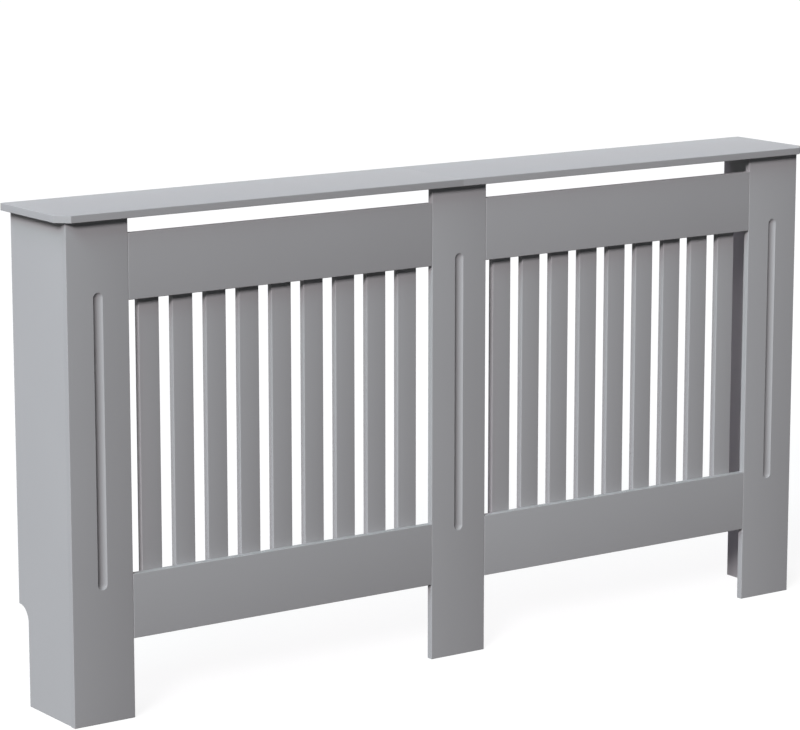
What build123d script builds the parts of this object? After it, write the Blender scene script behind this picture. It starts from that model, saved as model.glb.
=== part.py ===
from build123d import *
import os

os.makedirs("parts", exist_ok=True)

# A radiator cover: a painted board cabinet with a slatted front and an open back.
# It stands on the floor over the radiator, with its back edges against the wall.
# X runs along the wall, Y from the room towards the wall and Z up, in millimetres.
# The origin is on the floor, in the middle of the cabinet's footprint.

# ---- Driving dimensions ----

# Whole cabinet
overall_width = 1520
overall_depth = 190
overall_height = 815
board_arris = 1.0  # radius sanded onto the edges of every board

# Shelf, in two halves that meet over the middle post
shelf_thickness = 12
shelf_side_overhang = 16
shelf_front_overhang = 12
shelf_corner_cut = 20
seam_arris = 0.4  # finer radius on the four edges of the seam

# Side panels, set in a little behind the posts and cut away at the back for the skirting board
side_thickness = 15
side_inset = 1.5  # from the outer edge of a post to the outer face of its panel
skirting_notch_height = 165
skirting_notch_depth = 30
skirting_notch_radius = 26

# Front posts, each with a routed groove that stops short of both ends
post_width = 110
post_thickness = 12
groove_width = 17
groove_depth = 3.5
groove_rim_radius = 0.4
groove_bottom_height = 217
groove_top_margin = 113

# Rails between the posts, flush with them in front and behind
rail_thickness = 12
rail_height = 105
air_slot_height = 25
floor_gap_height = 130

# Slats behind the rails
slat_count = 9
slat_width = 37
slat_thickness = 12
slat_end_gap = 24  # from the posts to the first and last slats of a bay
slat_lap = 60  # how far each end of a slat runs behind its rail

# Shared joinery allowances
fit_clearance = 0.1  # radial, round dowels and screws
end_clearance = 0.5  # between the end of a dowel or screw and its hole
blind_cover = 3  # board left under the deepest blind hole
dowel_chamfer = 0.8
joint_pitch = 32  # from a cam fitting to the dowel beside it

# Dowels between the side panels, posts and shelf
dowel_diameter = 8
dowel_length = 30

# Dowels in the ends of the rails
rail_dowel_diameter = 6
rail_dowel_length = 30
rail_dowel_inset = 18  # from the slatted edge of the rail to the first dowel

# Dowels across the seam of the shelf
seam_dowel_count = 3
seam_dowel_diameter = 6
seam_dowel_length = 30
seam_dowel_inset = 18  # from the shelf's front and back edges

# Cam locks, pressed into the inner faces of the side panels
cam_diameter = 15
cam_height = 12
cam_clearance = 0.15
cam_rim_chamfer = 0.5
cam_edge_distance = 24  # from the edge of the panel to the centre of the cam
cam_slot_length = 8
cam_slot_width = 1.4
cam_slot_depth = 3
side_cam_count = 3
side_cam_margin = 100  # from the ends of the panel to the outer cams
top_cam_count = 2
top_cam_inset = 26  # from the front edge of the panel to the first cam
top_cam_pitch = 64

# Cam bolts, screwed into the posts and the shelf
bolt_thread_diameter = 5
bolt_shank_diameter = 7
bolt_shank_clearance = 0.5
bolt_neck_diameter = 4
bolt_head_diameter = 6
bolt_head_length = 3
bolt_tip_chamfer = 1

# Flat joint plates on the backs of the rails and under the seam of the shelf
plate_length = 60
plate_width = 16
plate_thickness = 2
plate_edge_radius = 0.4  # rolled onto the free edge as the plate is stamped
plate_inner_hole = 10  # from the joint to the first screw on each side
plate_hole_pitch = 12
seam_plate_count = 2

# Angle brackets that tie the shelf to the middle post
post_bracket_leg = 28
post_bracket_width = 16
post_bracket_offset = 18  # from the seam to the centre of each bracket
post_bracket_hole = 18  # from the corner of the bracket to its screws

# Angle brackets that hold the cabinet to the wall
wall_bracket_leg = 30
wall_bracket_width = 20
wall_bracket_offset = 450  # from the middle of the cabinet
wall_bracket_screw_inset = 10  # from the wall to the first of its two screws
wall_bracket_screw_pitch = 12
wall_hole_diameter = 5.5
wall_hole_drop = 15  # from the shelf down to the wall screw

bracket_thickness = 2
bracket_bend_radius = 1  # inside the bend
bracket_corner_radius = 3

# Short pan-head screws for the plates and brackets
screw_diameter = 3
screw_hole_diameter = 3.6
screw_head_diameter = 6
screw_head_height = 2
screw_head_rounding = 1.1
screw_tip_length = 2
recess_length = 3.2
recess_width = 0.8
recess_depth = 1.2

# Countersunk screws that hold the slats to the rails
slat_screw_diameter = 3.5
slat_screw_head_diameter = 7
slat_screw_inset = 18  # from the end of the slat to its screws
slat_screw_pitch = 18  # between the two screws at one end
countersink_angle = 90

# ---- Places worked out from the driving dimensions ----

wall_y = overall_depth / 2
shelf_front_y = -overall_depth / 2
shelf_half_width = overall_width / 2
shelf_bottom_z = overall_height - shelf_thickness

post_front_y = shelf_front_y + shelf_front_overhang
post_back_y = post_front_y + post_thickness
body_half_width = shelf_half_width - shelf_side_overhang
side_outer_x = body_half_width - side_inset
side_inner_x = side_outer_x - side_thickness
side_middle_x = side_outer_x - side_thickness / 2

bay_inner_x = post_width / 2
bay_outer_x = body_half_width - post_width
bay_width = bay_outer_x - bay_inner_x

rail_back_y = post_back_y
rail_front_y = rail_back_y - rail_thickness
upper_rail_top_z = shelf_bottom_z - air_slot_height
upper_rail_bottom_z = upper_rail_top_z - rail_height
lower_rail_bottom_z = floor_gap_height
lower_rail_top_z = lower_rail_bottom_z + rail_height

slat_front_y = rail_back_y
slat_back_y = slat_front_y + slat_thickness
slat_bottom_z = lower_rail_top_z - slat_lap
slat_top_z = upper_rail_bottom_z + slat_lap
slat_pitch = (bay_width - 2 * slat_end_gap - slat_width) / (slat_count - 1)

sides = {"left": -1, "right": 1}
post_middles = {
    "left": post_width / 2 - body_half_width,
    "middle": 0,
    "right": body_half_width - post_width / 2,
}

# Directions, named by what lies that way
to_room = (0, -1, 0)
to_wall = (0, 1, 0)
up = (0, 0, 1)
down = (0, 0, -1)


def evenly_spaced(first, last, count):
    """The places of a row of pieces that starts at first and ends at last."""
    step = (last - first) / (count - 1)
    return [first + step * index for index in range(count)]


def facing(points, direction):
    """Planes at the points, all facing one way."""
    return [Plane(origin=point, z_dir=direction) for point in points]


def across(side):
    """The direction along the wall that leads away from the middle, on the given side."""
    return (side, 0, 0)


# Side panel to post: cam fittings up the front edge of the panel, each with a dowel below it
side_cam_heights = evenly_spaced(side_cam_margin, shelf_bottom_z - side_cam_margin, side_cam_count)


def side_joint_points(side, rise=0):
    """Points on the seam between a side panel and its post, one for each cam fitting."""
    return [(side * side_middle_x, post_back_y, height + rise) for height in side_cam_heights]


# Side panel to shelf: cam fittings along the top edge of the panel, each with a dowel behind it
first_top_cam_y = post_back_y + top_cam_inset
top_cam_ys = [first_top_cam_y + top_cam_pitch * index for index in range(top_cam_count)]


def top_joint_points(side, shift=0):
    """Points on the seam between a side panel and the shelf, one for each cam fitting."""
    return [(side * side_middle_x, y + shift, shelf_bottom_z) for y in top_cam_ys]


# Rail to post: two dowels in each end of a rail, and a joint plate in the zone without slats
rail_middle_y = (rail_front_y + rail_back_y) / 2
upper_dowel_heights = [
    upper_rail_bottom_z + rail_dowel_inset,
    upper_rail_bottom_z + rail_dowel_inset + joint_pitch,
]
lower_dowel_heights = [
    lower_rail_top_z - rail_dowel_inset,
    lower_rail_top_z - rail_dowel_inset - joint_pitch,
]
rails = {
    "upper_rail": {
        "bottom": upper_rail_bottom_z,
        "top": upper_rail_top_z,
        "dowels": upper_dowel_heights,
        "plate": (upper_rail_top_z + slat_top_z) / 2,
        "slat_screws": slat_top_z - slat_screw_inset,
    },
    "lower_rail": {
        "bottom": lower_rail_bottom_z,
        "top": lower_rail_top_z,
        "dowels": lower_dowel_heights,
        "plate": (lower_rail_bottom_z + slat_bottom_z) / 2,
        "slat_screws": slat_bottom_z + slat_screw_inset,
    },
}


def rail_dowel_points(x):
    """Points on the seam between the rails and the post edge at x."""
    heights = upper_dowel_heights + lower_dowel_heights
    return [(x, rail_middle_y, height) for height in heights]


def plate_places(joint_xs):
    """Planes for the joint plates on the backs of both rails, at the seams at joint_xs."""
    return [
        Plane(origin=(x, rail_back_y, rail["plate"]), x_dir=(1, 0, 0), z_dir=to_wall)
        for rail in rails.values()
        for x in joint_xs
    ]


def plate_hole_places(places):
    """Planes on the board under each plate, one at each screw hole."""
    outer_hole = plate_inner_hole + plate_hole_pitch
    offsets = (-outer_hole, -plate_inner_hole, plate_inner_hole, outer_hole)
    return [
        Plane(origin=place.from_local_coords((offset, 0, 0)), z_dir=place.z_dir)
        for place in places
        for offset in offsets
    ]


def on_top(places, thickness):
    """The same planes, moved outwards onto the free face of a plate or bracket."""
    return [place.offset(thickness) for place in places]


# Slats: the middle of each slat, counted from the left end of its bay
def slat_middles(side):
    """The places along X of the slats in the bay on the given side."""
    bay_left_x = bay_inner_x if side > 0 else -bay_outer_x
    first = bay_left_x + slat_end_gap + slat_width / 2
    return [first + slat_pitch * index for index in range(slat_count)]


def slat_screw_points(slat_x, y):
    """The four screws of one slat, two behind each rail, on the plane at y."""
    return [
        (slat_x + shift, y, rail["slat_screws"])
        for rail in rails.values()
        for shift in (-slat_screw_pitch / 2, slat_screw_pitch / 2)
    ]


# Seam of the shelf: dowels across it, and plates between the dowels
seam_z = shelf_bottom_z + shelf_thickness / 2
seam_dowel_ys = evenly_spaced(
    shelf_front_y + seam_dowel_inset, wall_y - seam_dowel_inset, seam_dowel_count
)
seam_dowel_points = [(0, y, seam_z) for y in seam_dowel_ys]
seam_plate_ys = evenly_spaced(
    (post_back_y + post_bracket_leg + seam_dowel_ys[1]) / 2,
    (seam_dowel_ys[1] + seam_dowel_ys[-1]) / 2,
    seam_plate_count,
)
seam_plate_places = [
    Plane(origin=(0, y, shelf_bottom_z), x_dir=(1, 0, 0), z_dir=down) for y in seam_plate_ys
]

# Angle brackets: where each one's screws enter the shelf and the middle post
post_bracket_xs = {name: side * post_bracket_offset for name, side in sides.items()}
post_bracket_post_points = [
    (x, post_back_y, shelf_bottom_z - post_bracket_hole) for x in post_bracket_xs.values()
]
post_bracket_shelf_points = {
    name: (x, post_back_y + post_bracket_hole, shelf_bottom_z)
    for name, x in post_bracket_xs.items()
}


def wall_bracket_screw_points(side):
    """Where the two screws of a wall bracket enter the shelf."""
    first_y = wall_y - wall_bracket_screw_inset
    return [
        (side * wall_bracket_offset, y, shelf_bottom_z)
        for y in (first_y, first_y - wall_bracket_screw_pitch)
    ]


# How deep the fasteners go
post_hole_depth = post_thickness - blind_cover
shelf_hole_depth = shelf_thickness - blind_cover
screw_hole_depth = rail_thickness - blind_cover
screw_bite = screw_hole_depth - end_clearance


# ---- Boards ----


def board(low, high):
    """A board between two opposite corners of the current part, with eased arrises."""
    sizes = [end - start for start, end in zip(low, high)]
    middle = [(start + end) / 2 for start, end in zip(low, high)]
    with Locations(tuple(middle)):
        Box(*sizes)
    fillet(edges(), board_arris)


def drill(places, diameter, depth):
    """Blind holes in the current part, drilled inwards from each plane."""
    with Locations(*places):
        Hole(diameter / 2 + fit_clearance, depth)


# Shelf halves: straight boards with the outer front corner cut off at 45 degrees
for side_name, side in sides.items():
    with BuildPart() as top_panel:
        with Locations((side * shelf_half_width / 2, 0, seam_z)):
            Box(shelf_half_width, overall_depth, shelf_thickness)
        outer_edges = top_panel.edges().filter_by(Axis.Z).sort_by(Axis((0, 0, 0), across(side)))[-2:]
        chamfer(outer_edges.sort_by(Axis.Y)[0], shelf_corner_cut)
        seam_face = top_panel.faces().sort_by(Axis((0, 0, 0), across(side)))[0]
        seam_edges = seam_face.edges()
        fillet(top_panel.edges() - seam_edges, board_arris)
        seam_face = top_panel.faces().sort_by(Axis((0, 0, 0), across(side)))[0]
        fillet(seam_face.edges(), seam_arris)
        drill(facing(top_joint_points(side), down), bolt_thread_diameter, shelf_hole_depth)
        drill(facing(top_joint_points(side, joint_pitch), down), dowel_diameter, shelf_hole_depth)
        drill(
            facing(seam_dowel_points, across(-side)),
            seam_dowel_diameter,
            seam_dowel_length / 2 + end_clearance,
        )
        own_plate_holes = [
            place for place in plate_hole_places(seam_plate_places) if place.origin.X * side > 0
        ]
        shelf_screw_points = [post_bracket_shelf_points[side_name]]
        shelf_screw_points += wall_bracket_screw_points(side)
        drill(own_plate_holes, screw_diameter, screw_hole_depth)
        drill(facing(shelf_screw_points, down), screw_diameter, screw_hole_depth)
    top_panel.part.label = f"top_panel_{side_name}"
    export_step(top_panel.part, f"parts/top_panel_{side_name}.step")

# Side panels: the notch for the skirting board has a wide round in its upper corner
for side_name, side in sides.items():
    with BuildPart() as side_panel:
        notch_corner = (wall_y - skirting_notch_depth, skirting_notch_height)
        with BuildSketch(Plane.YZ.offset(side * side_middle_x)) as side_outline:
            with Locations(((post_back_y + wall_y) / 2, shelf_bottom_z / 2)):
                Rectangle(wall_y - post_back_y, shelf_bottom_z)
            with Locations((wall_y, 0)):
                Rectangle(
                    2 * skirting_notch_depth, 2 * skirting_notch_height, mode=Mode.SUBTRACT
                )
            inner_corner = side_outline.vertices().sort_by_distance(notch_corner)[0]
            fillet(inner_corner, skirting_notch_radius)
        extrude(amount=side_thickness / 2, both=True)
        fillet(side_panel.edges(), board_arris)
        bolt_bore = bolt_shank_diameter + 2 * bolt_shank_clearance
        dowel_depth = dowel_length - post_hole_depth + 2 * end_clearance
        drill(facing(side_joint_points(side), to_room), bolt_bore, cam_edge_distance)
        drill(facing(side_joint_points(side, -joint_pitch), to_room), dowel_diameter, dowel_depth)
        dowel_depth = dowel_length - shelf_hole_depth + 2 * end_clearance
        drill(facing(top_joint_points(side), up), bolt_bore, cam_edge_distance)
        drill(facing(top_joint_points(side, joint_pitch), up), dowel_diameter, dowel_depth)
        cam_points = [
            (side * side_inner_x, y + cam_edge_distance, z) for x, y, z in side_joint_points(side)
        ]
        cam_points += [
            (side * side_inner_x, y, z - cam_edge_distance) for x, y, z in top_joint_points(side)
        ]
        with Locations(*facing(cam_points, across(-side))):
            Hole(cam_diameter / 2 + cam_clearance, cam_height + end_clearance)
    side_panel.part.label = f"side_panel_{side_name}"
    export_step(side_panel.part, f"parts/side_panel_{side_name}.step")

# Posts: the groove is cut with a round-nosed cutter, so it is a shallow arc in section
groove_top_z = shelf_bottom_z - groove_top_margin
cutter_radius = (groove_width**2 / 4 + groove_depth**2) / (2 * groove_depth)
cutter_y = post_front_y - cutter_radius + groove_depth
groove_end_zs = (groove_bottom_height + groove_width / 2, groove_top_z - groove_width / 2)
for post_name, post_x in post_middles.items():
    with BuildPart() as front_post:
        board(
            (post_x - post_width / 2, post_front_y, 0),
            (post_x + post_width / 2, post_back_y, shelf_bottom_z),
        )
        with Locations((post_x, cutter_y, sum(groove_end_zs) / 2)):
            Cylinder(cutter_radius, groove_end_zs[1] - groove_end_zs[0], mode=Mode.SUBTRACT)
        with Locations(*[(post_x, cutter_y, z) for z in groove_end_zs]):
            Sphere(cutter_radius, mode=Mode.SUBTRACT)
        front_face = front_post.faces().filter_by(Axis.Y).sort_by(Axis.Y)[0]
        fillet(front_face.inner_wires()[0].edges(), groove_rim_radius)
        if post_name == "middle":
            drill(facing(rail_dowel_points(bay_inner_x), (1, 0, 0)), rail_dowel_diameter,
                  rail_dowel_length / 2 + end_clearance)
            drill(facing(rail_dowel_points(-bay_inner_x), (-1, 0, 0)), rail_dowel_diameter,
                  rail_dowel_length / 2 + end_clearance)
            drill(facing(post_bracket_post_points, to_wall), screw_diameter, screw_hole_depth)
            joint_xs = (-bay_inner_x, bay_inner_x)
        else:
            side = sides[post_name]
            drill(facing(rail_dowel_points(side * bay_outer_x), across(-side)),
                  rail_dowel_diameter, rail_dowel_length / 2 + end_clearance)
            drill(facing(side_joint_points(side), to_wall), bolt_thread_diameter, post_hole_depth)
            drill(facing(side_joint_points(side, -joint_pitch), to_wall), dowel_diameter,
                  post_hole_depth)
            joint_xs = (side * bay_outer_x,)
        own_plate_holes = [
            place
            for place in plate_hole_places(plate_places(joint_xs))
            if abs(place.origin.X - post_x) < post_width / 2
        ]
        drill(own_plate_holes, screw_diameter, screw_hole_depth)
    front_post.part.label = f"front_post_{post_name}"
    export_step(front_post.part, f"parts/front_post_{post_name}.step")

# Rails: butted between the posts and level with their faces
for side_name, side in sides.items():
    bay_xs = sorted((side * bay_inner_x, side * bay_outer_x))
    for rail_name, rail in rails.items():
        with BuildPart() as bay_rail:
            board((bay_xs[0], rail_front_y, rail["bottom"]), (bay_xs[1], rail_back_y, rail["top"]))
            for end_x, direction in zip(bay_xs, (-1, 1)):
                points = [(end_x, rail_middle_y, height) for height in rail["dowels"]]
                drill(facing(points, (direction, 0, 0)), rail_dowel_diameter,
                      rail_dowel_length / 2 + end_clearance)
            screw_places = [
                place
                for place in plate_hole_places(plate_places(bay_xs))
                if bay_xs[0] < place.origin.X < bay_xs[1]
                and rail["bottom"] < place.origin.Z < rail["top"]
            ]
            drill(screw_places, screw_diameter, screw_hole_depth)
            slat_screw_places = [
                point
                for slat_x in slat_middles(side)
                for point in slat_screw_points(slat_x, rail_back_y)
                if point[2] == rail["slat_screws"]
            ]
            drill(facing(slat_screw_places, to_wall), slat_screw_diameter, screw_hole_depth)
        bay_rail.part.label = f"{rail_name}_{side_name}"
        export_step(bay_rail.part, f"parts/{rail_name}_{side_name}.step")

# Slats: each is screwed to the backs of both rails
for side_name, side in sides.items():
    for number, slat_x in enumerate(slat_middles(side), start=1):
        with BuildPart() as slat:
            board(
                (slat_x - slat_width / 2, slat_front_y, slat_bottom_z),
                (slat_x + slat_width / 2, slat_back_y, slat_top_z),
            )
            with Locations(*facing(slat_screw_points(slat_x, slat_back_y), to_wall)):
                CounterSinkHole(
                    slat_screw_diameter / 2 + fit_clearance,
                    slat_screw_head_diameter / 2 + fit_clearance,
                    counter_sink_angle=countersink_angle,
                )
        slat.part.label = f"slat_{side_name}_{number}"
        export_step(slat.part, f"parts/slat_{side_name}_{number}.step")


# ---- Dowels ----


def dowel(diameter, length):
    """A dowel about the origin of the current part, along Z, with chamfered ends."""
    Cylinder(diameter / 2, length)
    rims = edges().filter_by(GeomType.CIRCLE)
    chamfer(rims, dowel_chamfer)


with BuildPart() as dowel_blank:
    dowel(dowel_diameter, dowel_length)
with BuildPart() as rail_dowel_blank:
    dowel(rail_dowel_diameter, rail_dowel_length)
with BuildPart() as seam_dowel_blank:
    dowel(seam_dowel_diameter, seam_dowel_length)

for side_name, side in sides.items():
    # A dowel stops just short of the end of its hole in the post or shelf
    shift_y = dowel_length / 2 - post_hole_depth + end_clearance
    with BuildPart() as side_dowels:
        points = [(x, y + shift_y, z) for x, y, z in side_joint_points(side, -joint_pitch)]
        with Locations(*facing(points, to_wall)):
            add(dowel_blank.part)
    side_dowels.part.label = f"side_dowels_{side_name}"
    export_step(side_dowels.part, f"parts/side_dowels_{side_name}.step")

    shift_z = dowel_length / 2 - shelf_hole_depth + end_clearance
    with BuildPart() as top_dowels:
        points = [(x, y, z - shift_z) for x, y, z in top_joint_points(side, joint_pitch)]
        with Locations(*facing(points, up)):
            add(dowel_blank.part)
    top_dowels.part.label = f"top_dowels_{side_name}"
    export_step(top_dowels.part, f"parts/top_dowels_{side_name}.step")

    with BuildPart() as rail_dowels:
        points = rail_dowel_points(side * bay_inner_x) + rail_dowel_points(side * bay_outer_x)
        with Locations(*facing(points, across(side))):
            add(rail_dowel_blank.part)
    rail_dowels.part.label = f"rail_dowels_{side_name}"
    export_step(rail_dowels.part, f"parts/rail_dowels_{side_name}.step")

with BuildPart() as seam_dowels:
    with Locations(*facing(seam_dowel_points, (1, 0, 0))):
        add(seam_dowel_blank.part)
seam_dowels.part.label = "seam_dowels"
export_step(seam_dowels.part, "parts/seam_dowels.step")


# ---- Cam fittings ----


def cam_bolt(thread_length):
    """A cam bolt in the current part: Z = 0 on the seam, its thread below, its head above."""
    shank_end = cam_edge_distance - cam_diameter / 2 - end_clearance
    head_start = cam_edge_distance - bolt_head_length / 2
    head_end = cam_edge_distance + bolt_head_length / 2
    with BuildSketch(Plane.XZ) as profile:
        with BuildLine():
            Polyline(
                (0, -thread_length),
                (bolt_thread_diameter / 2 - bolt_tip_chamfer, -thread_length),
                (bolt_thread_diameter / 2, bolt_tip_chamfer - thread_length),
                (bolt_thread_diameter / 2, 0),
                (bolt_shank_diameter / 2, 0),
                (bolt_shank_diameter / 2, shank_end),
                (bolt_neck_diameter / 2, shank_end),
                (bolt_neck_diameter / 2, head_start),
                (bolt_head_diameter / 2, head_start),
                (bolt_head_diameter / 2, head_end),
                (0, head_end),
                close=True,
            )
        make_face()
    revolve(profile.sketch, axis=Axis.Z)


with BuildPart() as post_bolt:
    cam_bolt(post_hole_depth - end_clearance)
with BuildPart() as shelf_bolt:
    cam_bolt(shelf_hole_depth - end_clearance)

# The cam: Z = 0 on its slotted face, its body below, and the bolt enters along +X
bolt_level = -side_thickness / 2
with BuildPart() as cam_lock:
    Cylinder(cam_diameter / 2, cam_height, align=(Align.CENTER, Align.CENTER, Align.MAX))
    chamfer(cam_lock.faces().sort_by(Axis.Z)[-1].edges(), cam_rim_chamfer)
    with BuildSketch():
        Rectangle(cam_slot_length, cam_slot_width)
        Rectangle(cam_slot_width, cam_slot_length)
    extrude(amount=-cam_slot_depth, mode=Mode.SUBTRACT)
    neck_radius = bolt_neck_diameter / 2 + bolt_shank_clearance
    with Locations(Plane(origin=(cam_diameter / 2, 0, bolt_level), z_dir=(1, 0, 0))):
        Hole(neck_radius, cam_diameter / 2)
    pocket_radius = bolt_head_diameter / 2 + bolt_shank_clearance
    pocket_length = bolt_head_length + 2 * end_clearance
    with Locations(Plane(origin=(pocket_length / 2, 0, bolt_level), z_dir=(1, 0, 0))):
        Hole(pocket_radius, pocket_length)

for side_name, side in sides.items():
    with BuildPart() as side_cam_bolts:
        with Locations(*facing(side_joint_points(side), to_wall)):
            add(post_bolt.part)
    side_cam_bolts.part.label = f"side_cam_bolts_{side_name}"
    export_step(side_cam_bolts.part, f"parts/side_cam_bolts_{side_name}.step")

    with BuildPart() as top_cam_bolts:
        with Locations(*facing(top_joint_points(side), down)):
            add(shelf_bolt.part)
    top_cam_bolts.part.label = f"top_cam_bolts_{side_name}"
    export_step(top_cam_bolts.part, f"parts/top_cam_bolts_{side_name}.step")

    with BuildPart() as side_cam_locks:
        for x, y, z in side_joint_points(side):
            centre = (side * side_inner_x, y + cam_edge_distance, z)
            with Locations(Plane(origin=centre, x_dir=to_room, z_dir=across(-side))):
                add(cam_lock.part)
    side_cam_locks.part.label = f"side_cam_locks_{side_name}"
    export_step(side_cam_locks.part, f"parts/side_cam_locks_{side_name}.step")

    with BuildPart() as top_cam_locks:
        for x, y, z in top_joint_points(side):
            centre = (side * side_inner_x, y, z - cam_edge_distance)
            with Locations(Plane(origin=centre, x_dir=up, z_dir=across(-side))):
                add(cam_lock.part)
    top_cam_locks.part.label = f"top_cam_locks_{side_name}"
    export_step(top_cam_locks.part, f"parts/top_cam_locks_{side_name}.step")


# ---- Joint plates and angle brackets ----

# A flat plate with round ends and four screw holes, its back on Z = 0
with BuildPart() as joint_plate:
    with BuildSketch():
        SlotOverall(plate_length, plate_width)
        with Locations(*[place.origin for place in plate_hole_places([Plane.XY])]):
            Circle(screw_hole_diameter / 2, mode=Mode.SUBTRACT)
    extrude(amount=plate_thickness)
    fillet(joint_plate.faces().sort_by(Axis.Z)[-1].outer_wire().edges(), plate_edge_radius)

for side_name, side in sides.items():
    bay_xs = (side * bay_inner_x, side * bay_outer_x)
    with BuildPart() as rail_plates:
        with Locations(*plate_places(bay_xs)):
            add(joint_plate.part)
    rail_plates.part.label = f"rail_plates_{side_name}"
    export_step(rail_plates.part, f"parts/rail_plates_{side_name}.step")

with BuildPart() as seam_plates:
    with Locations(*seam_plate_places):
        add(joint_plate.part)
seam_plates.part.label = "seam_plates"
export_step(seam_plates.part, "parts/seam_plates.step")


def angle_bracket(leg, width, reach):
    """An angle bracket in the current part, with its outer corner on the origin.

    One leg lies under Z = 0 and runs along Y, towards the wall where reach is 1 and towards
    the room where it is -1. The other leg hangs down from the corner.
    """
    with BuildSketch(Plane.YZ) as profile:
        with BuildLine():
            Polyline(
                (0, 0),
                (reach * leg, 0),
                (reach * leg, -bracket_thickness),
                (reach * bracket_thickness, -bracket_thickness),
                (reach * bracket_thickness, -leg),
                (0, -leg),
                close=True,
            )
        make_face()
    extrude(profile.sketch, amount=width / 2, both=True)
    inner_bend = edges().filter_by(Axis.X).filter_by(
        lambda edge: abs(edge.center().Z + bracket_thickness) < bracket_thickness / 2
        and abs(edge.center().Y - reach * bracket_thickness) < bracket_thickness / 2
    )
    outer_bend = edges().filter_by(Axis.X).filter_by(
        lambda edge: edge.center().length < bracket_thickness / 2
    )
    fillet(inner_bend, bracket_bend_radius)
    fillet(outer_bend, bracket_bend_radius + bracket_thickness)
    leg_corners = edges().filter_by(Axis.Z).sort_by(Axis((0, 0, 0), (0, reach, 0)))[-2:]
    leg_corners += edges().filter_by(Axis.Y).sort_by(Axis.Z)[:2]
    fillet(leg_corners, bracket_corner_radius)


with BuildPart() as post_bracket:
    angle_bracket(post_bracket_leg, post_bracket_width, 1)
    with Locations(Plane(origin=(0, post_bracket_hole, 0), z_dir=up)):
        Hole(screw_hole_diameter / 2)
    with Locations(Plane(origin=(0, 0, -post_bracket_hole), z_dir=to_room)):
        Hole(screw_hole_diameter / 2)

with BuildPart() as post_brackets:
    with Locations(*[(x, post_back_y, shelf_bottom_z) for x in post_bracket_xs.values()]):
        add(post_bracket.part)
post_brackets.part.label = "post_brackets"
export_step(post_brackets.part, "parts/post_brackets.step")

with BuildPart() as wall_bracket:
    angle_bracket(wall_bracket_leg, wall_bracket_width, -1)
    second_screw = wall_bracket_screw_inset + wall_bracket_screw_pitch
    screw_ys = (-wall_bracket_screw_inset, -second_screw)
    with Locations(*facing([(0, y, 0) for y in screw_ys], up)):
        Hole(screw_hole_diameter / 2)
    with Locations(Plane(origin=(0, 0, -wall_hole_drop), z_dir=to_wall)):
        Hole(wall_hole_diameter / 2)

for side_name, side in sides.items():
    with BuildPart() as wall_bracket_placed:
        with Locations((side * wall_bracket_offset, wall_y, shelf_bottom_z)):
            add(wall_bracket.part)
    wall_bracket_placed.part.label = f"wall_bracket_{side_name}"
    export_step(wall_bracket_placed.part, f"parts/wall_bracket_{side_name}.step")


# ---- Screws ----


def cross_recess(level):
    """The driver recess of a screw head, cut down from the given level of the current part."""
    with BuildSketch(Plane.XY.offset(level)) as cross:
        Rectangle(recess_length, recess_width)
        Rectangle(recess_width, recess_length)
    extrude(cross.sketch, amount=-recess_depth, mode=Mode.SUBTRACT)


# Pan-head screw: Z = 0 under its head
short_screw_length = plate_thickness + screw_bite
with BuildPart() as pan_screw:
    with BuildSketch(Plane.XZ):
        with BuildLine():
            Polyline(
                (0, -short_screw_length),
                (screw_diameter / 2, screw_tip_length - short_screw_length),
                (screw_diameter / 2, 0),
                (screw_head_diameter / 2, 0),
                (screw_head_diameter / 2, screw_head_height),
                (0, screw_head_height),
                close=True,
            )
        make_face()
    revolve(axis=Axis.Z)
    fillet(pan_screw.edges().sort_by(Axis.Z)[-1], screw_head_rounding)
    cross_recess(screw_head_height)

# Countersunk screw: Z = 0 on the flat top of its head
slat_screw_length = slat_thickness + screw_bite
head_cone_depth = (slat_screw_head_diameter - slat_screw_diameter) / 2
with BuildPart() as countersunk_screw:
    with BuildSketch(Plane.XZ):
        with BuildLine():
            Polyline(
                (0, -slat_screw_length),
                (slat_screw_diameter / 2, screw_tip_length - slat_screw_length),
                (slat_screw_diameter / 2, -head_cone_depth),
                (slat_screw_head_diameter / 2, 0),
                (0, 0),
                close=True,
            )
        make_face()
    revolve(axis=Axis.Z)
    cross_recess(0)

for side_name, side in sides.items():
    bay_xs = (side * bay_inner_x, side * bay_outer_x)
    with BuildPart() as rail_plate_screws:
        with Locations(*on_top(plate_hole_places(plate_places(bay_xs)), plate_thickness)):
            add(pan_screw.part)
    rail_plate_screws.part.label = f"rail_plate_screws_{side_name}"
    export_step(rail_plate_screws.part, f"parts/rail_plate_screws_{side_name}.step")

    with BuildPart() as slat_screws:
        points = [
            point
            for slat_x in slat_middles(side)
            for point in slat_screw_points(slat_x, slat_back_y)
        ]
        with Locations(*facing(points, to_wall)):
            add(countersunk_screw.part)
    slat_screws.part.label = f"slat_screws_{side_name}"
    export_step(slat_screws.part, f"parts/slat_screws_{side_name}.step")

with BuildPart() as seam_plate_screws:
    with Locations(*on_top(plate_hole_places(seam_plate_places), plate_thickness)):
        add(pan_screw.part)
seam_plate_screws.part.label = "seam_plate_screws"
export_step(seam_plate_screws.part, "parts/seam_plate_screws.step")

with BuildPart() as post_bracket_screws:
    places = facing(post_bracket_post_points, to_wall)
    places += facing(post_bracket_shelf_points.values(), down)
    with Locations(*on_top(places, bracket_thickness)):
        add(pan_screw.part)
post_bracket_screws.part.label = "post_bracket_screws"
export_step(post_bracket_screws.part, "parts/post_bracket_screws.step")

with BuildPart() as wall_bracket_screws:
    points = wall_bracket_screw_points(-1) + wall_bracket_screw_points(1)
    with Locations(*on_top(facing(points, down), bracket_thickness)):
        add(pan_screw.part)
wall_bracket_screws.part.label = "wall_bracket_screws"
export_step(wall_bracket_screws.part, "parts/wall_bracket_screws.step")
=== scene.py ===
import math

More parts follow.
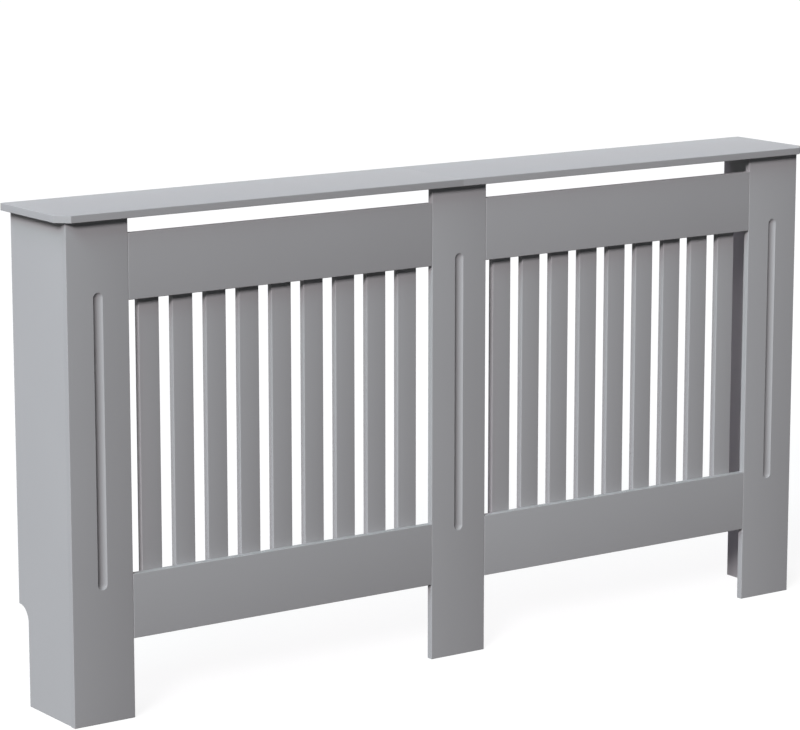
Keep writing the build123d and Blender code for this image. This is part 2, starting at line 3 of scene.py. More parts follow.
import bpy
import numpy as np
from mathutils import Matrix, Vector


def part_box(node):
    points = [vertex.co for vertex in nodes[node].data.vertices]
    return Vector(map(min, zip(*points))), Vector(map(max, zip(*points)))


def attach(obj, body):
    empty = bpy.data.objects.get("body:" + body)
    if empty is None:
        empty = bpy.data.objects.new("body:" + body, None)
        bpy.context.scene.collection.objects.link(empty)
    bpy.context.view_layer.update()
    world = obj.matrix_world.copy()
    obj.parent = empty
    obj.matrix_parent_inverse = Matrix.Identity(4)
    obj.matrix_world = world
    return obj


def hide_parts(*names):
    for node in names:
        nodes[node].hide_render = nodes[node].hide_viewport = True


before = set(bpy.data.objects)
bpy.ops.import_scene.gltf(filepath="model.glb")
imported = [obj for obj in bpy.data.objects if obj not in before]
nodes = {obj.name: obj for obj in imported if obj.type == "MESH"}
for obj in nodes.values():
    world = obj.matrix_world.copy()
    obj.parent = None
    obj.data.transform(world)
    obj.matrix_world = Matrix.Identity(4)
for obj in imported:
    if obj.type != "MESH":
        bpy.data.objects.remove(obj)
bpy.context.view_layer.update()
mm = 0.001


# ---- Side panels ----
# 15 mm medium density fibreboard, sawn to size, its edges routed round and sealed, then sprayed
# with two coats of satin grey paint. The notch low at the back clears a skirting board.

paint_grey = "A8A8A9"
paint_ior = 1.46
paint_sheen = 0.18  # share of the mirror light: matting powder in the paint scatters the rest
face_roughness = 0.46
edge_roughness = 0.60
face_crown = 0.06  # slope of the sanded face at its edges, against a true plane
face_squareness = 0.95  # a surface that faces across the board this squarely is a broad face
edge_squareness = 0.60  # and one that does so no more than this is a cut edge
film_drift = 0.012  # how far the film's thickness changes the grey, each way
film_drift_size = 180 * mm
film_drift_detail = 3.0
film_noise_low = 0.25  # noise down here gives the darkest film
film_noise_high = 0.75
peel_size = 2.6 * mm  # real orange peel is 1 to 3 mm
peel_depth = 0.010 * mm
peel_detail = 1.0
fibre_size = 0.9 * mm  # raised fibres on a cut edge, drawn three times too coarse to show
fibre_depth = 0.03 * mm
fibre_detail = 2.0


def linear(hex_colour):
    """The linear colour of an sRGB hex value, with full alpha."""
    channels = np.array([int(hex_colour[start:start + 2], 16) for start in (0, 2, 4)]) / 255
    low, high = channels / 12.92, ((channels + 0.055) / 1.055) ** 2.4
    return (*np.where(channels <= 0.04045, low, high), 1.0)


def set_inputs(tree, node, inputs):
    """Sets each input of a node to a value, or links it. A node stands for its first output."""
    for socket, value in inputs.items():
        if isinstance(value, bpy.types.Node):
            value = value.outputs[0]
        if isinstance(value, bpy.types.NodeSocket):
            tree.links.new(value, node.inputs[socket])
        else:
            node.inputs[socket].default_value = value


def add_node(tree, kind, inputs, **settings):
    """A node of the given kind, with its inputs and settings."""
    node = tree.nodes.new(kind)
    for name, value in settings.items():
        setattr(node, name, value)
    set_inputs(tree, node, inputs)
    return node


def new_material(name):
    """An empty material, its node tree, its surface shader and its object coordinates."""
    material = bpy.data.materials.new(name)
    material.use_nodes = True
    tree = material.node_tree
    shader = tree.nodes["Principled BSDF"]
    place = add_node(tree, "ShaderNodeTexCoord", {}).outputs["Object"]
    return material, tree, shader, place


def sprayed_fibreboard(name, low, high):
    """Satin sprayed paint on the fibreboard between two corners.

    The film drifts a little in tone, and lies in the fine dimples that spraying leaves. Sanding
    before the spray leaves each face a shade higher in the middle: the normal leans outwards in
    step with the distance from the board's middle. Cut edges soak up paint, so they are duller
    and show raised fibres.
    """
    material, tree, shader, place = new_material(name)
    middle = (low + high) / 2
    half = (high - low) / 2
    thin = min(range(3), key=lambda axis: half[axis])
    lean = [0.0 if axis == thin else face_crown / half[axis] for axis in range(3)]
    centred = add_node(tree, "ShaderNodeMapping", {"Vector": place, "Location": -middle})
    slope = add_node(tree, "ShaderNodeVectorMath", {0: centred, 1: lean}, operation="MULTIPLY")
    flat = add_node(tree, "ShaderNodeNewGeometry", {}).outputs["Normal"]
    leaning = add_node(tree, "ShaderNodeVectorMath", {0: flat, 1: slope}, operation="ADD")
    crowned = add_node(tree, "ShaderNodeVectorMath", {0: leaning}, operation="NORMALIZE")
    # 0 on the two broad faces and 1 on the cut edges
    across = add_node(tree, "ShaderNodeSeparateXYZ", {0: flat}).outputs[thin]
    squareness = add_node(tree, "ShaderNodeMath", {0: across}, operation="ABSOLUTE")
    edge = add_node(tree, "ShaderNodeMapRange",
                    {"Value": squareness, "From Min": face_squareness,
                     "From Max": edge_squareness})
    peel = add_node(tree, "ShaderNodeTexNoise",
                    {"Vector": place, "Scale": 1 / peel_size, "Detail": peel_detail})
    fibres = add_node(tree, "ShaderNodeTexNoise",
                      {"Vector": place, "Scale": 1 / fibre_size, "Detail": fibre_detail})
    dimples = add_node(tree, "ShaderNodeBump",
                       {"Height": peel, "Distance": peel_depth, "Normal": crowned})
    raised = add_node(tree, "ShaderNodeBump",
                      {"Height": fibres, "Distance": fibre_depth, "Strength": edge,
                       "Normal": dimples})
    drift = add_node(tree, "ShaderNodeTexNoise",
                     {"Vector": place, "Scale": 1 / film_drift_size,
                      "Detail": film_drift_detail})
    film = add_node(tree, "ShaderNodeMapRange",
                    {"Value": drift, "From Min": film_noise_low, "From Max": film_noise_high,
                     "To Min": 1 - film_drift, "To Max": 1 + film_drift})
    tone = add_node(tree, "ShaderNodeVectorMath",
                    {0: linear(paint_grey)[:3], "Scale": film}, operation="SCALE")
    gloss = add_node(tree, "ShaderNodeMapRange",
                     {"Value": edge, "To Min": face_roughness, "To Max": edge_roughness})
    set_inputs(tree, shader, {"Base Color": tone, "Roughness": gloss, "Normal": raised,
                              "IOR": paint_ior, "Specular IOR Level": paint_sheen})
    return material


def finish_node(name, material):
    """Gives a solid of the frame its finish."""
    nodes[name].data.materials.clear()
    nodes[name].data.materials.append(material)


def paint_board(name):
    """Paints one board of the frame, with its own crown and film."""
    finish_node(name, sprayed_fibreboard(f"sprayed_fibreboard_{name}", *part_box(name)))


hands = {"left": -1, "right": 1}
for hand in hands:
    paint_board(f"side_panel_{hand}")


# ---- Front posts ----
# 12 mm fibreboard, 110 mm wide. A round-nosed cutter ran the shallow stopped groove down each
# post before it was sprayed.

for place_name in ("left", "middle", "right"):
    paint_board(f"front_post_{place_name}")


# ---- Dowels between side panels, posts and shelf ----
# Fluted beech, 8 x 30 mm, glued in. The pressed flutes let air and spare glue out of the hole,
# and the ends are chamfered so that they start easily.

dowel_radius = 4 * mm
dowel_length = 30 * mm
dowel_chamfer = 0.8 * mm
flute_count = 18
flute_depth = 0.35 * mm
points_per_flute = 4
beech_tan = "CFAE86"
beech_fleck = "A97F55"
beech_roughness = 0.65
fleck_width = 0.35 * mm
fleck_length = 2.4 * mm
fleck_noise_low = 0.50  # noise below this leaves the wood pale
fleck_noise_high = 0.75
pore_depth = 0.05 * mm


def turned_beech(grain):
    """Beech, turned and pressed: pale tan, with short darker flecks along the grain.

    The flecks are noise drawn out along the grain, which runs along the given axis.
    """
    material, tree, shader, place = new_material(f"turned_beech_along_{grain}")
    stretch = [1 / (fleck_length if axis == grain else fleck_width) for axis in "xyz"]
    grained = add_node(tree, "ShaderNodeMapping", {"Vector": place, "Scale": stretch})
    flecks = add_node(tree, "ShaderNodeTexNoise", {"Vector": grained, "Scale": 1.0})
    share = add_node(tree, "ShaderNodeMapRange",
                     {"Value": flecks, "From Min": fleck_noise_low,
                      "From Max": fleck_noise_high})
    # Inputs 6 and 7 and output 2 of a Mix node are its colours
    wood = add_node(tree, "ShaderNodeMix",
                    {0: share, 6: linear(beech_tan), 7: linear(beech_fleck)}, data_type="RGBA")
    pores = add_node(tree, "ShaderNodeBump", {"Height": flecks, "Distance": pore_depth})
    set_inputs(tree, shader, {"Base Color": wood.outputs[2], "Normal": pores,
                              "Roughness": beech_roughness})
    return material


beech = {axis: turned_beech(axis) for axis in "xyz"}


def ring_points(radii, heights, way=1):
    """Points on rings about Z, from a row of radii and a height for each ring.

    They are evenly spaced, counter-clockwise from above where the way is 1, clockwise at -1.
    """
    turn = way * 2 * np.pi * np.arange(radii.shape[1]) / radii.shape[1]
    level = np.broadcast_to(heights[:, None], radii.shape)
    return np.stack([radii * np.cos(turn), radii * np.sin(turn), level], axis=-1).reshape(-1, 3)


def ring_quads(rings, around):
    """Quads that join each ring of points to the next, all the way around."""
    ring, one = np.mgrid[0:rings - 1, 0:around]
    following = (one + 1) % around
    corners = [ring * around + one, ring * around + following,
               (ring + 1) * around + following, (ring + 1) * around + one]
    return np.stack(corners, axis=-1).reshape(-1, 4)


def closed_stack(radii, heights):
    """A closed skin over rings about Z, from the bottom up, as points and faces.

    Quads join neighbouring rings, and triangles close the first and last ring on their centres.
    """
    rings, around = radii.shape
    poles = [[0, 0, heights[0]], [0, 0, heights[-1]]]
    points = np.concatenate([ring_points(radii, heights), poles])
    one = np.arange(around)
    following = (one + 1) % around
    last, bottom_pole = (rings - 1) * around, rings * around
    bottom = np.stack([np.full_like(one, bottom_pole), following, one], axis=-1)
    top = np.stack([np.full_like(one, bottom_pole + 1), last + one, last + following], axis=-1)
    return points, ring_quads(rings, around).tolist() + bottom.tolist() + top.tolist()


def set_out(points, faces, places, directions):
    """Copies of one shape at each place, its Z along that place's direction.

    Each copy is turned by the golden angle from the last, so no two fasteners sit alike.
    """
    golden_angle = math.radians(137.5)
    places = np.asarray(places, float)
    ahead = np.broadcast_to(np.asarray(directions, float), places.shape)
    upright = np.abs(ahead[:, 2:]) > 0.5
    aside = np.cross(np.where(upright, [[1.0, 0, 0]], [[0, 0, 1.0]]), ahead)
    aside /= np.linalg.norm(aside, axis=1, keepdims=True)
    spin = golden_angle * np.arange(len(places))[:, None]
    turned = np.cos(spin) * aside + np.sin(spin) * np.cross(ahead, aside)
    basis = np.stack([turned, np.cross(ahead, turned), ahead], axis=1)
    copies = np.einsum("pi,cij->cpj", points, basis) + places[:, None]
    all_faces = [[corner + len(points) * copy for corner in face]
                 for copy in range(len(places)) for face in faces]
    return copies.reshape(-1, 3), all_faces


def new_object(name, data):
    """An object that shows a mesh, a lamp or a camera in the scene."""
    made = bpy.data.objects.new(name, data)
    bpy.context.scene.collection.objects.link(made)
    return made


def new_piece(name, points, faces, material, slot, replaced):
    """One piece from points and faces, which rides on the frame and stands for some solids."""
    crease_angle = math.radians(35)
    mesh = bpy.data.meshes.new(name)
    mesh.from_pydata(points.tolist(), [], faces)
    mesh.shade_smooth()
    mesh.set_sharp_from_angle(angle=crease_angle)
    mesh.materials.append(material)
    piece = new_object(name, mesh)
    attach(piece, "root")
    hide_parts(replaced)


def fluted_dowel(radius, length):
    """A dowel about Z: its radius dips by the flute depth along evenly spaced cosine grooves.

    At each end the radius shrinks by the chamfer over the same height.
    """
    around = flute_count * points_per_flute
    wave = np.cos(2 * np.pi * np.arange(around) / points_per_flute)
    round_radius = radius - flute_depth * (1 - wave) / 2
    inset = np.array([dowel_chamfer, 0, 0, dowel_chamfer])
    half = length / 2
    heights = np.array([-half, dowel_chamfer - half, half - dowel_chamfer, half])
    return closed_stack(round_radius[None] - inset[:, None], heights)


post_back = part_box("front_post_left")[1].y
side_low, side_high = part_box("side_panel_right")
side_middle = (side_low.x + side_high.x) / 2
shelf_underside = side_high.z
joint_pitch = 32 * mm  # from a cam fitting to the dowel beside it
side_cam_margin = 100 * mm  # from the ends of a side panel to its outer cam fittings
side_cam_heights = np.linspace(side_cam_margin, shelf_underside - side_cam_margin, 3)
top_cam_inset = 26 * mm  # from the front edge of a side panel to the first cam fitting
top_cam_pitch = 64 * mm
top_cam_ys = (post_back + top_cam_inset, post_back + top_cam_inset + top_cam_pitch)
dowel_reach = 8.5 * mm  # into the post or the shelf, just short of the end of the hole

for hand, sign in hands.items():
    shape = fluted_dowel(dowel_radius, dowel_length)
    middle_y = post_back - dowel_reach + dowel_length / 2
    places = [(sign * side_middle, middle_y, height - joint_pitch) for height in side_cam_heights]
    new_piece(f"fluted_side_dowels_{hand}", *set_out(*shape, places, (0, 1, 0)), beech["y"],
              "beech", f"side_dowels_{hand}")
    middle_z = shelf_underside + dowel_reach - dowel_length / 2
    places = [(sign * side_middle, y + joint_pitch, middle_z) for y in top_cam_ys]
    new_piece(f"fluted_top_dowels_{hand}", *set_out(*shape, places, (0, 0, 1)), beech["z"],
              "beech", f"top_dowels_{hand}")


# ---- Cam fittings ----
# A zinc-plated steel bolt, screwed into the back of a post or the underside of the shelf, passes
# through the edge of the side panel. Half a turn of the slotted drum, die-cast in zinc and
# pressed into the panel's inner face, pulls the bolt's head tight.

cloud_detail = 4.0
cloud_noise_low = 0.35  # noise below this leaves the lighter and smoother skin
cloud_noise_high = 0.65
grain_detail = 2.0


def clouded_metal(name, light, dark, cloud_size, smooth, dull, grain_size, grain_depth):
    """Bare metal with a plated or cast skin.

    Its grey wanders in soft clouds between two tones, and its roughness with it from smooth to
    dull. A fine grain stands out of the surface.
    """
    material, tree, shader, place = new_material(name)
    clouds = add_node(tree, "ShaderNodeTexNoise",
                      {"Vector": place, "Scale": 1 / cloud_size, "Detail": cloud_detail})
    share = add_node(tree, "ShaderNodeMapRange",
                     {"Value": clouds, "From Min": cloud_noise_low,
                      "From Max": cloud_noise_high})
    skin = add_node(tree, "ShaderNodeMix", {0: share, 6: linear(light), 7: linear(dark)},
                    data_type="RGBA")
    gloss = add_node(tree, "ShaderNodeMapRange",
                     {"Value": share, "To Min": smooth, "To Max": dull})
    grain = add_node(tree, "ShaderNodeTexNoise",
                     {"Vector": place, "Scale": 1 / grain_size, "Detail": grain_detail})
    bump = add_node(tree, "ShaderNodeBump", {"Height": grain, "Distance": grain_depth})
    set_inputs(tree, shader, {"Base Color": skin.outputs[2], "Roughness": gloss,
                              "Normal": bump, "Metallic": 1.0})
    return material


# Bright zinc plate over steel: cool and clear, with faint clouds from the plating bath
plated_steel = clouded_metal("zinc_plated_steel", light="D3D6D8", dark="B9BDC1",
                             cloud_size=6 * mm, smooth=0.28, dull=0.40,
                             grain_size=0.5 * mm, grain_depth=0.006 * mm)
# Die-cast zinc alloy, as it leaves the tumbler: a duller, darker and grainier grey. The grain of
# the casting's skin is drawn twice too coarse to show
cast_zinc = clouded_metal("die_cast_zinc", light="A7A9AB", dark="8C8F92",
                          cloud_size=2.5 * mm, smooth=0.45, dull=0.60,
                          grain_size=0.45 * mm, grain_depth=0.03 * mm)

spokes = 24  # points around a bolt or screw
least_part = 1e-9  # keeps a spoke that runs along a bar from a division by zero


def cross_outline(half_length, half_width):
    """The radius at each spoke of a driver cross, made of two bars at right angles.

    Along a spoke a bar ends where it meets its end or its side, whichever comes first, and the
    cross reaches as far as the longer of its two bars.
    """
    turn = 2 * np.pi * np.arange(spokes) / spokes
    cosine = np.abs(np.cos(turn)) + least_part
    sine = np.abs(np.sin(turn)) + least_part
    one_bar = np.minimum(half_length / cosine, half_width / sine)
    other_bar = np.minimum(half_width / cosine, half_length / sine)
    return np.maximum(one_bar, other_bar)


def bevelled(radius, top, bottom, bevel):
    """The four rings of a disc about Z, from the top down, with both of its rims cut off."""
    return [(radius - bevel, top), (radius, top - bevel),
            (radius, bottom + bevel), (radius - bevel, bottom)]


def threaded(rings, end, core, crest, pitch, tip):
    """A bolt or screw about Z with a real thread, as points and faces.

    The head and shank are rings from the top down, each a radius or an outline and a height. The
    thread is a strip that winds down round the core from the last ring: across one pitch it goes
    from the core out to the crest and back, so each turn's lower edge is the next one's upper
    edge. Over the tip all radii shrink in step with the height left, down to a small point, and
    over its first turn the crest rises out of the core.
    """
    tip_share = 0.12  # of the radius, left at the very end
    first_rise = 0.15  # of the thread's depth, there from the start
    radii = np.stack([np.broadcast_to(radius, (spokes,)) for radius, height in rings])
    heights = np.array([height for radius, height in rings])
    start = heights[-1] - pitch / 4
    # The crest's edge has a point at every spoke, and ends a full turn above the end
    steps = int((start - end) / pitch * spokes) - spokes

    def winding(step, drop, reach):
        """Points down one edge of the strip, which starts a drop lower and reaches this far."""
        height = start - drop - pitch * step / spokes
        radius = reach * np.clip((height - end) / tip, tip_share, 1)
        angle = -2 * np.pi * step / spokes
        return np.stack([radius * np.cos(angle), radius * np.sin(angle), height], axis=-1)

    core_step = np.arange(steps + spokes + 1)
    crest_step = np.arange(steps + 1)
    rise = np.clip(first_rise + crest_step / spokes, 0, 1)
    points = np.concatenate([
        [[0, 0, heights[0]]], ring_points(radii, heights, way=-1), winding(core_step, 0, core),
        winding(crest_step, pitch / 2, core + (crest - core) * rise), [[0, 0, end]]])

    # Where the last ring, the core's edge, the crest's edge and the point start in the list
    ring_at = 1 + (len(rings) - 1) * spokes
    core_at = ring_at + spokes
    crest_at = core_at + len(core_step)
    point_at = len(points) - 1
    core_end, crest_end = core_at + steps, crest_at + steps
    one = np.arange(spokes)
    following = (one + 1) % spokes
    crown = np.stack([np.zeros_like(one), 1 + following, 1 + one], axis=-1)
    skin = 1 + ring_quads(len(rings), spokes)
    neck = np.stack([ring_at + one, ring_at + following, core_at + one + 1, core_at + one],
                    axis=-1)
    core_along, crest_along = core_at + np.arange(steps), crest_at + np.arange(steps)
    upper = np.stack([core_along, core_along + 1, crest_along + 1, crest_along], axis=-1)
    lower = np.stack([crest_along, crest_along + 1,
                      core_along + 1 + spokes, core_along + spokes], axis=-1)
    foot = np.stack([core_end + one, core_end + one + 1, np.full_like(one, point_at)], axis=-1)
    ends = [(ring_at, core_at, core_at + spokes), (core_at, crest_at, core_at + spokes),
            (core_end, core_end + spokes, crest_end), (core_end, point_at, core_end + spokes)]
    quads = np.concatenate([skin, neck, upper, lower])
    return points, quads.tolist() + crown.tolist() + foot.tolist() + ends


# The bolt, measured from the seam that it crosses
bolt_head_top = 25.5 * mm
bolt_head_bottom = 22.5 * mm
bolt_head_radius = 3 * mm
bolt_neck_radius = 2 * mm
bolt_shank_top = 16 * mm
bolt_shank_radius = 3.5 * mm
bolt_bevel = 0.25 * mm
bolt_core_radius = 1.9 * mm
bolt_cross = cross_outline(half_length=2 * mm, half_width=0.5 * mm)
bolt_cross_depth = 1.4 * mm
bolt_cross_floor = 0.5  # the floor of the cross, as a share of its mouth

cam_bolt = threaded(
    [(bolt_cross * bolt_cross_floor, bolt_head_top - bolt_cross_depth),
     (bolt_cross, bolt_head_top),
     *bevelled(bolt_head_radius, bolt_head_top, bolt_head_bottom, bolt_bevel),
     (bolt_neck_radius, bolt_head_bottom), (bolt_neck_radius, bolt_shank_top),
     *bevelled(bolt_shank_radius, bolt_shank_top, 0.0, bolt_bevel), (bolt_core_radius, 0.0)],
    end=-8.5 * mm, core=bolt_core_radius, crest=2.5 * mm, pitch=1.6 * mm, tip=1.2 * mm)
for hand, sign in hands.items():
    places = [(sign * side_middle, post_back, height) for height in side_cam_heights]
    new_piece(f"side_cam_bolts_threaded_{hand}", *set_out(*cam_bolt, places, (0, 1, 0)),
              plated_steel, "plated_steel", f"side_cam_bolts_{hand}")
    places = [(sign * side_middle, y, shelf_underside) for y in top_cam_ys]
    new_piece(f"top_cam_bolts_threaded_{hand}", *set_out(*cam_bolt, places, (0, 0, -1)),
              plated_steel, "plated_steel", f"top_cam_bolts_{hand}")
    finish_node(f"side_cam_locks_{hand}", cast_zinc)
    finish_node(f"top_cam_locks_{hand}", cast_zinc)


# ---- Rails and their dowels ----
# 12 mm fibreboard, 105 mm high, butted between the posts and level with their faces. Two fluted
# 6 x 30 mm beech dowels in each end keep them in line.

rail_dowel_radius = 3 * mm
rail_dowel_length = 30 * mm
rail_dowel_inset = 18 * mm  # from the slatted edge of a rail to its first dowel
upper_low, upper_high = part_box("upper_rail_right")
lower_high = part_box("lower_rail_right")[1]
bay_inner, bay_outer = upper_low.x, upper_high.x
rail_middle_y = (upper_low.y + upper_high.y) / 2
upper_dowel_height = upper_low.z + rail_dowel_inset
lower_dowel_height = lower_high.z - rail_dowel_inset
rail_dowel_heights = (upper_dowel_height, upper_dowel_height + joint_pitch,
                      lower_dowel_height, lower_dowel_height - joint_pitch)

for hand, sign in hands.items():
    for rail in ("upper_rail", "lower_rail"):
        paint_board(f"{rail}_{hand}")
    shape = fluted_dowel(rail_dowel_radius, rail_dowel_length)
    places = [(sign * end, rail_middle_y, height)
              for end in (bay_inner, bay_outer) for height in rail_dowel_heights]
    new_piece(f"fluted_rail_dowels_{hand}", *set_out(*shape, places, (1, 0, 0)), beech["x"],
              "beech", f"rail_dowels_{hand}")


# ---- Joint plates behind the rails ----
# 60 x 16 mm plates with round ends, stamped from 2 mm steel strip and zinc plated. One bridges
# each joint of rail and post, with four short pan-head screws.

plate_width = 16 * mm
plate_thickness = 2 * mm
plate_holes = np.array([-22, -10, 10, 22]) * mm
plates_low, plates_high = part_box("rail_plates_right")
rail_plate_heights = (plates_high.z - plate_width / 2, plates_low.z + plate_width / 2)
screw_cross = cross_outline(half_length=1.6 * mm, half_width=0.42 * mm)
screw_cross_depth = 1.2 * mm
screw_cross_floor = 0.45  # the floor of the cross, as a share of its mouth
screw_bevel = 0.15 * mm
pan_radius = 3 * mm
pan_height = 2 * mm
pan_round = 1.1 * mm  # radius round the top edge of a pan head
pan_neck_top = (1.25 * mm, 0.0)  # radius and height
pan_neck_end = (1.1 * mm, -0.6 * mm)

# Small screws come from the plating drum a shade darker and more worn than the flat plates
screw_steel = clouded_metal("zinc_plated_screw_steel", light="CACDCF", dark="A9ADB1",
                            cloud_size=1.5 * mm, smooth=0.30, dull=0.46,
                            grain_size=0.4 * mm, grain_depth=0.008 * mm)

pan_arc = [(pan_radius - pan_round + pan_round * math.sin(math.radians(lean)),
            pan_height - pan_round + pan_round * math.cos(math.radians(lean)))
           for lean in (0, 30, 60, 90)]
pan_screw = threaded(
    [(screw_cross * screw_cross_floor, pan_height - screw_cross_depth),
     (screw_cross, pan_height), *pan_arc, (pan_radius, screw_bevel),
     (pan_radius - screw_bevel, 0.0), pan_neck_top, pan_neck_end],
    end=-10.5 * mm, core=1.05 * mm, crest=1.5 * mm, pitch=1.35 * mm, tip=2.2 * mm)


def pan_screws(name, places, directions, replaced):
    """A set of pan-head screws, in one direction or in one for each."""
    new_piece(name, *set_out(*pan_screw, places, directions), screw_steel, "screw_steel",
              replaced)


for hand, sign in hands.items():
    finish_node(f"rail_plates_{hand}", plated_steel)
    places = [(sign * joint + hole, post_back + plate_thickness, height)
              for joint in (bay_inner, bay_outer) for height in rail_plate_heights
              for hole in plate_holes]
    pan_screws(f"rail_plate_pan_screws_{hand}", places, (0, 1, 0), f"rail_plate_screws_{hand}")


# ---- Slats ----
# 12 mm fibreboard strips, 37 mm wide, nine to a bay, behind the rails. Each end is held to the
# rail's back by two countersunk 3.5 mm chipboard screws, their heads level with the board.

slat_count = 9
slat_screw_inset = 18 * mm  # from the end of a slat to its screws
slat_screw_aside = 9 * mm
head_sunk = 0.05 * mm  # below the face of the slat
head_radius = 3.45 * mm
head_rim = head_sunk + screw_bevel
neck_radius = 1.3 * mm  # where the 45 degree cone under the head ends
shank_end = (1.25 * mm, -8.0 * mm)  # radius and height

countersunk_screw = threaded(
    [(screw_cross * screw_cross_floor, -screw_cross_depth), (screw_cross, -head_sunk),
     (head_radius - screw_bevel, -head_sunk), (head_radius, -head_rim),
     (neck_radius, neck_radius - head_radius - head_rim), shank_end],
    end=-20.5 * mm, core=1.1 * mm, crest=1.75 * mm, pitch=1.6 * mm, tip=2.6 * mm)
for hand in hands:
    places = []
    for number in range(1, slat_count + 1):
        name = f"slat_{hand}_{number}"
        paint_board(name)
        low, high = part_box(name)
        middle_x = (low.x + high.x) / 2
        places += [(middle_x + aside, high.y, height)
                   for height in (high.z - slat_screw_inset, low.z + slat_screw_inset)
                   for aside in (-slat_screw_aside, slat_screw_aside)]
    new_piece(f"slat_countersunk_screws_{hand}",
              *set_out(*countersunk_screw, places, (0, 1, 0)), screw_steel, "screw_steel",
              f"slat_screws_{hand}")


# ---- Shelf ----
# 12 mm fibreboard in two halves that butt over the middle post, each with its outer front corner
# cut off. Three 6 mm beech dowels line up the seam and two joint plates close it from below.

seam_dowel_inset = 18 * mm  # from the front and back edges of the shelf
shelf_low, shelf_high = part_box("top_panel_right")
seam_height = (shelf_low.z + shelf_high.z) / 2
seam_dowel_ys = np.linspace(shelf_low.y + seam_dowel_inset, shelf_high.y - seam_dowel_inset, 3)
plates_low, plates_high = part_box("seam_plates")
seam_plate_ys = (plates_low.y + plate_width / 2, plates_high.y - plate_width / 2)

for hand in hands:
    paint_board(f"top_panel_{hand}")
places = [(0, y, seam_height) for y in seam_dowel_ys]
shape = fluted_dowel(rail_dowel_radius, rail_dowel_length)
new_piece("fluted_seam_dowels", *set_out(*shape, places, (1, 0, 0)), beech["x"], "beech",
          "seam_dowels")
finish_node("seam_plates", plated_steel)
places = [(hole, y, shelf_underside - plate_thickness)
          for y in seam_plate_ys for hole in plate_holes]
pan_screws("seam_plate_pan_screws", places, (0, 0, -1), "seam_plate_screws")


# ---- Brackets under the shelf ----
# Angle brackets bent from the same 2 mm plated strip. Two tie the shelf to the middle post, and
# two at the back take the screws that keep the cabinet to the wall.

post_bracket_aside = 18 * mm  # from the seam of the shelf to the middle of each bracket
post_bracket_hole = 18 * mm  # from the corner of a bracket to its screws
wall_low, wall_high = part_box("wall_bracket_right")
wall_bracket_aside = (wall_low.x + wall_high.x) / 2
wall_screw_insets = (10 * mm, 22 * mm)  # from the wall

finish_node("post_brackets", plated_steel)
post_places = [(sign * post_bracket_aside, post_back + plate_thickness,
                shelf_underside - post_bracket_hole) for sign in hands.values()]
shelf_places = [(sign * post_bracket_aside, post_back + post_bracket_hole,
                 shelf_underside - plate_thickness) for sign in hands.values()]
pan_screws("post_bracket_pan_screws", post_places + shelf_places,
           [(0, 1, 0)] * 2 + [(0, 0, -1)] * 2, "post_bracket_screws")
for hand in hands:
    finish_node(f"wall_bracket_{hand}", plated_steel)
places = [(sign * wall_bracket_aside, wall_high.y - inset, shelf_underside - plate_thickness)
          for sign in hands.values() for inset in wall_screw_insets]
pan_screws("wall_bracket_pan_screws", places, (0, 0, -1), "wall_bracket_screws")


# ---- Floor, light and camera ----
# A plain pale floor and a white surround that sends no light onto the cabinet. The broad main
# light comes from the front left, two softer ones from higher up on the left, and a low fill
# from behind.

white = (1, 1, 1, 1)
floor_half = 30.0
floor_tone = 0.07  # what the floor sends back onto the object
floor_glow = 0.90  # what the camera sees of the floor in full shade; 1 is white
floor_answer = 0.14  # what the lamps add to it where they reach


def seen_directly(tree):
    """1 on rays from the camera, off gloss and through glass, and 0 on all other rays."""
    ray = add_node(tree, "ShaderNodeLightPath", {}).outputs
    clear = add_node(tree, "ShaderNodeMath",
                     {0: ray["Is Glossy Ray"], 1: ray["Is Transmission Ray"]},
                     operation="MAXIMUM")
    return add_node(tree, "ShaderNodeMath", {0: ray["Is Camera Ray"], 1: clear},
                    operation="MAXIMUM")


floor_mesh = bpy.data.meshes.new("floor")
floor_mesh.from_pydata([(-floor_half, -floor_half, 0), (floor_half, -floor_half, 0),
                        (floor_half, floor_half, 0), (-floor_half, floor_half, 0)],
                       [], [(0, 1, 2, 3)])
floor = new_object("floor", floor_mesh)
floor_finish = bpy.data.materials.new("pale_floor")
floor_finish.use_nodes = True
tree = floor_finish.node_tree
tree.nodes.remove(tree.nodes["Principled BSDF"])
matt = add_node(tree, "ShaderNodeBsdfDiffuse", {"Color": (*[floor_answer] * 3, 1)})
dim = add_node(tree, "ShaderNodeBsdfDiffuse", {"Color": (*[floor_tone] * 3, 1)})
glow = add_node(tree, "ShaderNodeEmission", {"Color": white, "Strength": floor_glow})
pale = add_node(tree, "ShaderNodeAddShader", {0: matt, 1: glow})
surface = add_node(tree, "ShaderNodeMixShader", {0: seen_directly(tree), 1: dim, 2: pale})
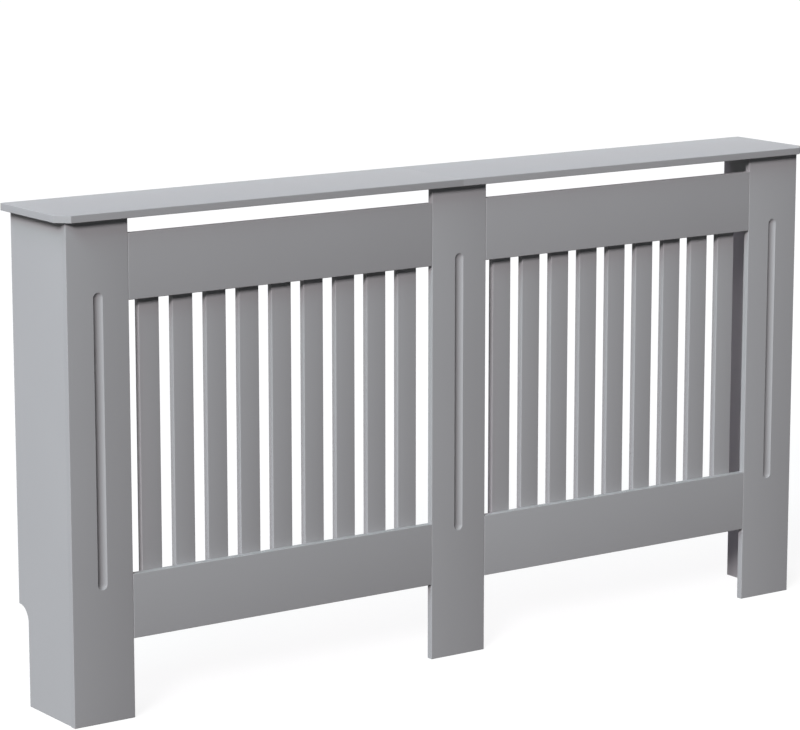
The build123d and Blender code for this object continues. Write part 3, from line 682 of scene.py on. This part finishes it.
set_inputs(tree, tree.nodes["Material Output"], {"Surface": surface})
floor_mesh.materials.append(floor_finish)

world = bpy.data.worlds.new("surround")
bpy.context.scene.world = world
world.use_nodes = True
tree = world.node_tree
set_inputs(tree, tree.nodes["Background"], {"Color": white, "Strength": seen_directly(tree)})


def far_lamp(name, strength, spread, bearing, height, tint=(1, 1, 1)):
    """A distant soft lamp, with its angles in degrees.

    Its bearing is counted from straight in front towards the left, and its height from level.
    """
    light = bpy.data.lights.new(name, "SUN")
    light.energy = strength
    light.color = tint
    light.angle = math.radians(spread)
    lamp = new_object(name, light)
    round_angle, up_angle = math.radians(bearing), math.radians(height)
    travel = Vector((math.sin(round_angle) * math.cos(up_angle),
                     math.cos(round_angle) * math.cos(up_angle), -math.sin(up_angle)))
    lamp.rotation_euler = travel.to_track_quat("-Z", "Y").to_euler()
    return lamp


main_lamp = far_lamp("main_lamp", strength=2.93, spread=15, bearing=52.5, height=28.1,
                     tint=(1.0, 0.94, 0.97))
far_lamp("upper_lamp", strength=1.74, spread=24, bearing=71, height=46,
         tint=(0.75, 0.97, 0.99))
far_lamp("back_lamp", strength=0.81, spread=20, bearing=130, height=60, tint=(0.92, 0.80, 1.0))
rear_fill = far_lamp("rear_fill", strength=2.00, spread=30, bearing=220, height=4)
# Low lamps would glare off the shelf in views from the far side, so they give no highlights
for lamp in (main_lamp, rear_fill):
    lamp.visible_glossy = False

# The photograph's camera, worked out from the straight edges of the boards in it
camera_lens = 146.180  # in millimetres, for a picture 36 mm wide
camera_place = (-3.142853, -4.391119, 1.521675)
camera_dip = math.radians(10.839)  # below level
camera_turn = math.radians(35.054)  # to the right of straight at the wall

camera_data = bpy.data.cameras.new("camera")
camera_data.sensor_fit = "HORIZONTAL"
camera_data.sensor_width = 36
camera_data.lens = camera_lens
camera_data.clip_end = 200
camera = new_object("camera", camera_data)
camera.location = camera_place
camera.rotation_euler = (math.radians(90) - camera_dip, 0, -camera_turn)
bpy.context.scene.camera = camera
bpy.context.scene.view_settings.view_transform = "Standard"
